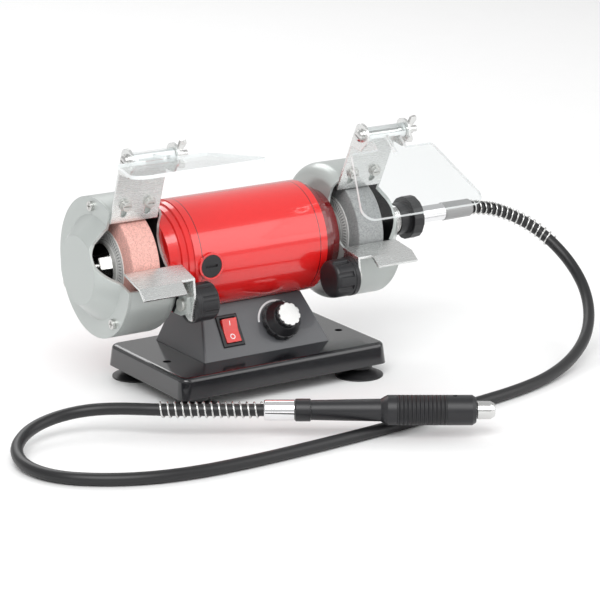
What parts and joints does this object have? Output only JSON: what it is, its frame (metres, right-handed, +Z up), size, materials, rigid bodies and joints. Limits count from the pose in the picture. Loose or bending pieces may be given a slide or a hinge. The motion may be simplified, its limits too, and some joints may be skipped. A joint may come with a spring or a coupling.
{
  "type": "bench grinder",
  "caption": "Small bench grinder with guarded wheels on a motor over a pedestal base, adjustable rests and clear shields, a speed dial and a flexible shaft with a handpiece.",
  "frame": {"origin": "on the bench, under the middle of the bounding box of the machine without its flexible shaft", "axes": "+X along the spindle towards the flexible shaft, +Y to the rear, +Z up"},
  "size_m": [0.4801, 0.2596, 0.179],
  "materials": {
    "base_black": "gloss",
    "rubber": "satin",
    "steel_fastener": "satin",
    "panel_grey": "satin",
    "switch_black": "satin",
    "switch_red": "gloss",
    "board_green": "satin",
    "motor_red": "gloss",
    "bell_dark": "gloss",
    "bright_steel": "polished",
    "lamination": "satin",
    "winding": "satin",
    "brass_parts": "satin",
    "carbon": "matte",
    "guard_grey": "satin",
    "chrome_ferrule": "polished",
    "hose_black": "satin",
    "spring_steel": "satin",
    "handle_black": "satin",
    "wheel_pink": "matte",
    "wheel_grey": "matte",
    "label_paper": "matte",
    "dial_black": "satin",
    "dial_silver": "satin",
    "zinc_plate": "satin",
    "clear_shield": "clear",
    "knob_black": "satin"
  },
  "bodies": {
    "stand": {"base_tray": "base_black", "foot_front_left": "rubber", "foot_front_right": "rubber", "foot_rear_left": "rubber", "foot_rear_right": "rubber", "bottom_plate": "base_black", "base_screws": "steel_fastener", "pedestal_housing": "panel_grey", "switch_frame": "switch_black", "speed_potentiometer": "steel_fastener", "circuit_board": "board_green", "cable_gland": "switch_black", "motor_sleeve": "motor_red", "end_bell_left": "motor_red", "end_bell_right": "bell_dark", "bearings": "bright_steel", "field_core": "lamination", "field_coils": "winding", "brush_holders": "brass_parts", "carbon_brushes": "carbon", "brush_caps": "switch_black", "guard_drum_left": "guard_grey", "guard_drum_right": "guard_grey", "guard_cover_left": "guard_grey", "guard_cover_right": "guard_grey", "cover_screws": "steel_fastener", "bracket_screws": "steel_fastener", "rest_studs": "steel_fastener", "flex_nozzle": "bright_steel", "hose_ferrules": "chrome_ferrule", "flex_hose": "hose_black", "strain_springs": "spring_steel", "handpiece_collar": "switch_black", "handpiece_handle": "handle_black"},
    "rotor": {"rotor_shaft": "bright_steel", "armature_core": "lamination", "commutator": "winding", "cooling_fan": "switch_black", "wheel_left": "wheel_pink", "wheel_right": "wheel_grey", "wheel_blotters": "label_paper", "wheel_flanges": "bright_steel", "wheel_nuts": "bright_steel"},
    "collet_spindle": {"collet": "bright_steel"},
    "rocker": {"switch_rocker": "switch_red"},
    "dial": {"speed_dial": "dial_black", "dial_cap": "dial_silver"},
    "union_nut": {"flex_nut": "dial_black"},
    "bracket_left": {"spark_bracket_left": "zinc_plate", "hinge_bolt_left": "bright_steel"},
    "shield_left": {"visor_left": "clear_shield"},
    "wing_left": {"wing_nut_left": "bright_steel"},
    "rest_left": {"tool_rest_left": "zinc_plate"},
    "knob_left": {"clamp_knob_left": "knob_black"},
    "bracket_right": {"spark_bracket_right": "zinc_plate", "hinge_bolt_right": "bright_steel"},
    "shield_right": {"visor_right": "clear_shield"},
    "wing_right": {"wing_nut_right": "bright_steel"},
    "rest_right": {"tool_rest_right": "zinc_plate"},
    "knob_right": {"clamp_knob_right": "knob_black"}
  },
  "joints": [
    {"name": "motor_spin", "type": "hinge", "parent": "stand", "child": "rotor", "pos_m": [-0.00635, 0.0324, 0.0896], "axis": [1, 0, 0], "continuous": true},
    {"name": "collet_spin", "type": "hinge", "parent": "stand", "child": "collet_spindle", "pos_m": [0.04655, -0.16763, 0.0183], "axis": [0.8415, -0.5402, 0], "continuous": true},
    {"name": "rocker_tilt", "type": "hinge", "parent": "stand", "child": "rocker", "pos_m": [-0.02625, 0.00577, 0.03844], "axis": [1, 0, 0], "range_deg": [-14, 0]},
    {"name": "dial_turn", "type": "hinge", "parent": "stand", "child": "dial", "pos_m": [0.01285, 0.00455, 0.03949], "axis": [0, -0.8338, 0.552], "range_deg": [-270, 0]},
    {"name": "union_nut_turn", "type": "hinge", "parent": "stand", "child": "union_nut", "pos_m": [0.13745, 0.0324, 0.0896], "axis": [1, 0, 0], "range_deg": [-180, 180]},
    {"name": "bracket_slide_left", "type": "slide", "parent": "stand", "child": "bracket_left", "axis": [0, -0.342, 0.9397], "range_m": [0, 0.006]},
    {"name": "shield_tilt_left", "type": "hinge", "parent": "bracket_left", "child": "shield_left", "pos_m": [-0.09415, -0.01196, 0.16939], "axis": [1, 0, 0], "range_deg": [-75, 45]},
    {"name": "wing_turn_left", "type": "hinge", "parent": "bracket_left", "child": "wing_left", "pos_m": [-0.07415, -0.01196, 0.16939], "axis": [1, 0, 0], "range_deg": [-180, 180]},
    {"name": "rest_slide_left", "type": "slide", "parent": "stand", "child": "rest_left", "axis": [0, 1, 0], "range_m": [-0.0028, 0.0012]},
    {"name": "knob_turn_left", "type": "hinge", "parent": "stand", "child": "knob_left", "pos_m": [-0.06065, -0.0158, 0.0698], "axis": [1, 0, 0], "range_deg": [-180, 180]},
    {"name": "bracket_slide_right", "type": "slide", "parent": "stand", "child": "bracket_right", "axis": [0, -0.454, 0.891], "range_m": [0, 0.006]},
    {"name": "shield_tilt_right", "type": "hinge", "parent": "bracket_right", "child": "shield_right", "pos_m": [0.08145, -0.01735, 0.16604], "axis": [1, 0, 0], "range_deg": [-100, 15]},
    {"name": "wing_turn_right", "type": "hinge", "parent": "bracket_right", "child": "wing_right", "pos_m": [0.10145, -0.01735, 0.16604], "axis": [1, 0, 0], "range_deg": [-180, 180]},
    {"name": "rest_slide_right", "type": "slide", "parent": "stand", "child": "rest_right", "axis": [0, 1, 0], "range_m": [-0.0028, 0.0012]},
    {"name": "knob_turn_right", "type": "hinge", "parent": "stand", "child": "knob_right", "pos_m": [0.04795, -0.0158, 0.0698], "axis": [1, 0, 0], "range_deg": [-180, 180]}
  ],
  "couplings": [
    {"joint": "collet_spin", "follows": "motor_spin", "ratio": 1}
  ]
}
